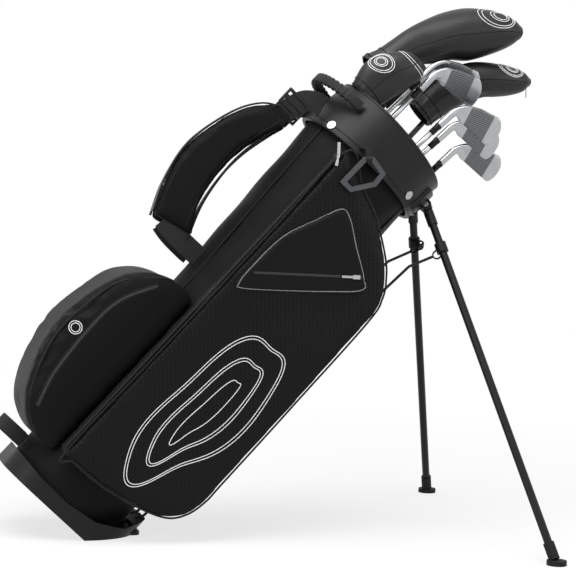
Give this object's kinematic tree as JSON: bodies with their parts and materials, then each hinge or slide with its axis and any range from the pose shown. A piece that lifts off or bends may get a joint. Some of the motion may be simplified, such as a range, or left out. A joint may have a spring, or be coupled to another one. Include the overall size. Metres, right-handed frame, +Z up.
{
  "type": "golf club set in stand bag",
  "caption": "Golf stand bag leaning on two folding legs, with irons, covered woods and a covered putter that lift out of the collar.",
  "frame": {"origin": "centre of the bounding box on the floor plane, with the bag leaning on its legs", "axes": "+Z up from the floor, +X from the base towards the legs and club heads, +Y away from the side the valuables pocket is on"},
  "size_m": [0.957, 0.7398, 0.9478],
  "materials": {
    "black_nylon": "matt woven",
    "black_plastic": "satin moulded",
    "grey_plastic": "satin moulded",
    "charcoal_plastic": "satin moulded",
    "padded_mesh": "padded",
    "webbing": "woven strap",
    "foam": "closed-cell",
    "leg_tube": "black anodised",
    "foot_rubber": "moulded",
    "rod_wire": "blackened drawn wire",
    "pin_steel": "turned",
    "blade_steel": "polished and brushed",
    "shaft_steel": "stepped shaft with rubber grip",
    "graphite": "lacquered shaft with rubber grip",
    "wood_head": "gloss",
    "putter_head": "satin",
    "cover_leather": "soft synthetic",
    "zip_tape": "woven tape with coil",
    "silver_metal": "die cast",
    "fibreglass": "pultruded"
  },
  "bodies": {
    "bag": {"bag_tube": "black_nylon", "ball_pocket": "black_nylon", "base_cup": "black_plastic", "base_floor": "foam", "collar_ring": "charcoal_plastic", "divider_bars": "black_plastic", "far_side_pocket": "black_nylon", "grab_loop": "webbing", "inner_stays": "fibreglass", "leg_bracket": "charcoal_plastic", "leg_pins": "pin_steel", "lift_handle": "black_plastic", "near_side_pocket": "black_nylon", "ring_tab": "webbing", "rocker_pin": "pin_steel", "snap_rivets": "silver_metal", "strap_buckles": "black_plastic", "strap_pad_far": "padded_mesh", "strap_pad_near": "padded_mesh", "strap_webbing": "webbing", "valuables_pocket": "black_nylon", "zip_tapes": "zip_tape"},
    "near_leg": {"near_leg_knuckle": "black_plastic", "near_leg_tube": "leg_tube", "near_rod_clamp": "black_plastic", "near_leg_foot": "foot_rubber"},
    "near_push_rod": {"near_rod": "rod_wire"},
    "far_leg": {"far_leg_knuckle": "black_plastic", "far_leg_tube": "leg_tube", "far_rod_clamp": "black_plastic", "far_leg_foot": "foot_rubber"},
    "far_push_rod": {"far_rod": "rod_wire"},
    "rocker": {"rocker_foot": "black_plastic"},
    "towel_ring_body": {"towel_ring": "grey_plastic"},
    "main_slider": {"main_zip_slider": "silver_metal"},
    "ball_slider": {"ball_zip_slider": "silver_metal"},
    "pouch_slider": {"pouch_zip_slider": "silver_metal"},
    "iron_4_club": {"iron_4_head": "blade_steel", "iron_4_shaft": "shaft_steel"},
    "iron_5_club": {"iron_5_head": "blade_steel", "iron_5_shaft": "shaft_steel"},
    "iron_6_club": {"iron_6_head": "blade_steel", "iron_6_shaft": "shaft_steel"},
    "iron_7_club": {"iron_7_head": "blade_steel", "iron_7_shaft": "shaft_steel"},
    "iron_9_club": {"iron_9_head": "blade_steel", "iron_9_shaft": "shaft_steel"},
    "driver_club": {"driver_head": "wood_head", "driver_shaft": "graphite"},
    "driver_cover_body": {"driver_cover": "cover_leather"},
    "fairway_club": {"fairway_head": "wood_head", "fairway_shaft": "graphite"},
    "fairway_cover_body": {"fairway_cover": "cover_leather"},
    "hybrid_club": {"hybrid_head": "wood_head", "hybrid_shaft": "graphite"},
    "hybrid_cover_body": {"hybrid_cover": "cover_leather"},
    "putter_club": {"putter_head": "putter_head", "putter_shaft": "graphite"},
    "putter_cover_body": {"putter_cover": "cover_leather"}
  },
  "joints": [
    {"name": "near_leg_fold", "type": "hinge", "parent": "bag", "child": "near_leg", "pos_m": [0.26878, -0.041, 0.58198], "axis": [0.3893, 0.8508, -0.353], "range_deg": [0, 60.6]},
    {"name": "far_leg_fold", "type": "hinge", "parent": "bag", "child": "far_leg", "pos_m": [0.26878, 0.041, 0.58198], "axis": [-0.3893, 0.8508, 0.353], "range_deg": [0, 60.6]},
    {"name": "rocker_swing", "type": "hinge", "parent": "bag", "child": "rocker", "pos_m": [-0.32626, 0, 0.00621], "axis": [0, 1, 0], "range_deg": [0, 34.8]},
    {"name": "near_rod_swing", "type": "hinge", "parent": "rocker", "child": "near_push_rod", "pos_m": [-0.2346, -0.024, 0.01224], "axis": [-0.082, -0.9966, -0.0005], "range_deg": [0, 41.82]},
    {"name": "far_rod_swing", "type": "hinge", "parent": "rocker", "child": "far_push_rod", "pos_m": [-0.2346, 0.024, 0.01224], "axis": [0.082, -0.9966, 0.0005], "range_deg": [0, 41.82]},
    {"name": "towel_ring_swing", "type": "hinge", "parent": "bag", "child": "towel_ring_body", "pos_m": [0.12572, -0.1565, 0.66418], "axis": [1, 0, 0], "range_deg": [-90, 0]},
    {"name": "main_zip_slide", "type": "slide", "parent": "bag", "child": "main_slider", "axis": [-0.6687, 0, -0.7435], "range_m": [0, 0.64]},
    {"name": "ball_zip_slide", "type": "slide", "parent": "bag", "child": "ball_slider", "axis": [-0.6717, 0, -0.7408], "range_m": [0, 0.1]},
    {"name": "pouch_zip_slide", "type": "slide", "parent": "bag", "child": "pouch_slider", "axis": [-0.9998, 0, 0.0222], "range_m": [0, 0.15]},
    {"name": "iron_4_lift_out", "type": "slide", "parent": "bag", "child": "iron_4_club", "axis": [0.6972, 0, 0.7169], "range_m": [0, 0.9]},
    {"name": "iron_5_lift_out", "type": "slide", "parent": "bag", "child": "iron_5_club", "axis": [0.6871, 0, 0.7266], "range_m": [0, 0.9]},
    {"name": "iron_6_lift_out", "type": "slide", "parent": "bag", "child": "iron_6_club", "axis": [0.7278, 0, 0.6858], "range_m": [0, 0.9]},
    {"name": "iron_7_lift_out", "type": "slide", "parent": "bag", "child": "iron_7_club", "axis": [0.7278, 0, 0.6858], "range_m": [0, 0.9]},
    {"name": "iron_9_lift_out", "type": "slide", "parent": "bag", "child": "iron_9_club", "axis": [0.7278, 0, 0.6858], "range_m": [0, 0.9]},
    {"name": "driver_lift_out", "type": "slide", "parent": "bag", "child": "driver_club", "axis": [0.6534, 0, 0.757], "range_m": [0, 0.9]},
    {"name": "fairway_lift_out", "type": "slide", "parent": "bag", "child": "fairway_club", "axis": [0.6717, 0, 0.7408], "range_m": [0, 0.9]},
    {"name": "hybrid_lift_out", "type": "slide", "parent": "bag", "child": "hybrid_club", "axis": [0.6534, 0, 0.757], "range_m": [0, 0.9]},
    {"name": "putter_lift_out", "type": "slide", "parent": "bag", "child": "putter_club", "axis": [0.6717, 0, 0.7408], "range_m": [0, 0.9]},
    {"name": "driver_cover_pull", "type": "slide", "parent": "driver_club", "child": "driver_cover_body", "axis": [0.6534, 0, 0.757], "range_m": [0, 0.26], "deforming": ["driver_cover"]},
    {"name": "fairway_cover_pull", "type": "slide", "parent": "fairway_club", "child": "fairway_cover_body", "axis": [0.6717, 0, 0.7408], "range_m": [0, 0.26], "deforming": ["fairway_cover"]},
    {"name": "hybrid_cover_pull", "type": "slide", "parent": "hybrid_club", "child": "hybrid_cover_body", "axis": [0.6534, 0, 0.757], "range_m": [0, 0.26], "deforming": ["hybrid_cover"]},
    {"name": "putter_cover_pull", "type": "slide", "parent": "putter_club", "child": "putter_cover_body", "axis": [0.6717, 0, 0.7408], "range_m": [0, 0.26], "deforming": ["putter_cover"]}
  ],
  "couplings": [
    {"joint": "far_leg_fold", "follows": "near_leg_fold", "ratio": 1},
    {"joint": "rocker_swing", "follows": "near_leg_fold", "ratio": 0.57283},
    {"joint": "near_rod_swing", "follows": "near_leg_fold", "ratio": 0.68842},
    {"joint": "far_rod_swing", "follows": "near_leg_fold", "ratio": 0.68842}
  ]
}
